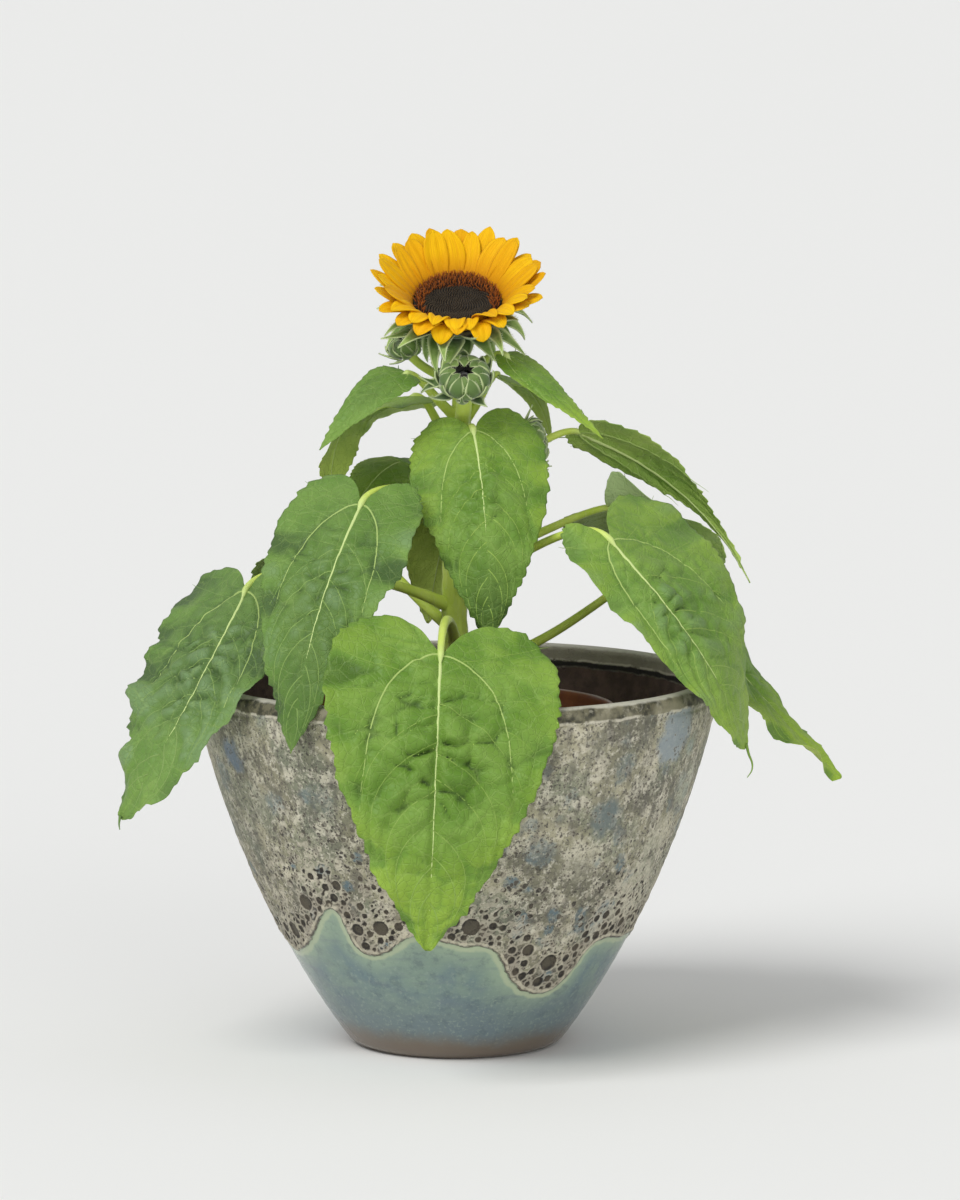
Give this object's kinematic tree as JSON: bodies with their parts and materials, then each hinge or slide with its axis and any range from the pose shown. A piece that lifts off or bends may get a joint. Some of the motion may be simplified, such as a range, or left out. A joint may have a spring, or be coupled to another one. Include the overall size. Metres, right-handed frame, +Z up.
{
  "type": "potted sunflower plant",
  "caption": "Potted dwarf sunflower with one open flower, buds and large drooping heart-shaped leaves, in a nursery pot inside a deep glazed stoneware planter.",
  "frame": {"origin": "centre of the planter's flat underside", "axes": "+Z up; -Y is the side that the open flower and the largest leaf face"},
  "size_m": [0.4118, 0.3242, 0.4681],
  "materials": {
    "glazed_stoneware": "reactive glaze, gritty grey-brown with craters above and smooth blue-green below",
    "nursery_pot_plastic": "satin terracotta-brown",
    "potting_soil": "rough, dark and crumbly",
    "stem": "green, softly haired",
    "leaf": "mid green, matt, with pale veins",
    "ray_petal": "golden yellow, soft",
    "disc_floret": "dark brown, velvety",
    "bract": "green, hairy"
  },
  "bodies": {
    "root": {"planter": "glazed_stoneware", "nursery_pot": "nursery_pot_plastic", "potting_soil": "potting_soil", "main_stem": "stem", "petiole_front": "stem", "leaf_front": "leaf", "petiole_front_upper": "stem", "leaf_front_upper": "leaf", "petiole_left_front": "stem", "leaf_left_front": "leaf", "petiole_left": "stem", "leaf_left": "leaf", "petiole_right_front": "stem", "leaf_right_front": "leaf", "petiole_right": "stem", "leaf_right": "leaf", "petiole_right_upper": "stem", "leaf_right_upper": "leaf", "petiole_top_right": "stem", "leaf_top_right": "leaf", "petiole_top_left": "stem", "leaf_top_left": "leaf", "petiole_left_upper": "stem", "leaf_left_upper": "leaf", "petiole_left_back": "stem", "leaf_left_back": "leaf", "petiole_back": "stem", "leaf_back": "leaf", "petiole_right_bud": "stem", "leaf_right_bud": "leaf", "petiole_right_back": "stem", "leaf_right_back": "leaf", "petiole_left_hidden": "stem", "leaf_left_hidden": "leaf", "flower_involucre": "bract", "flower_rays": "ray_petal", "flower_disc": "disc_floret", "front_bud_stalk": "stem", "front_bud": "bract", "right_bud_stalk": "stem", "right_bud": "bract", "left_bud_stalk": "stem", "left_bud": "bract"}
  },
  "joints": []
}
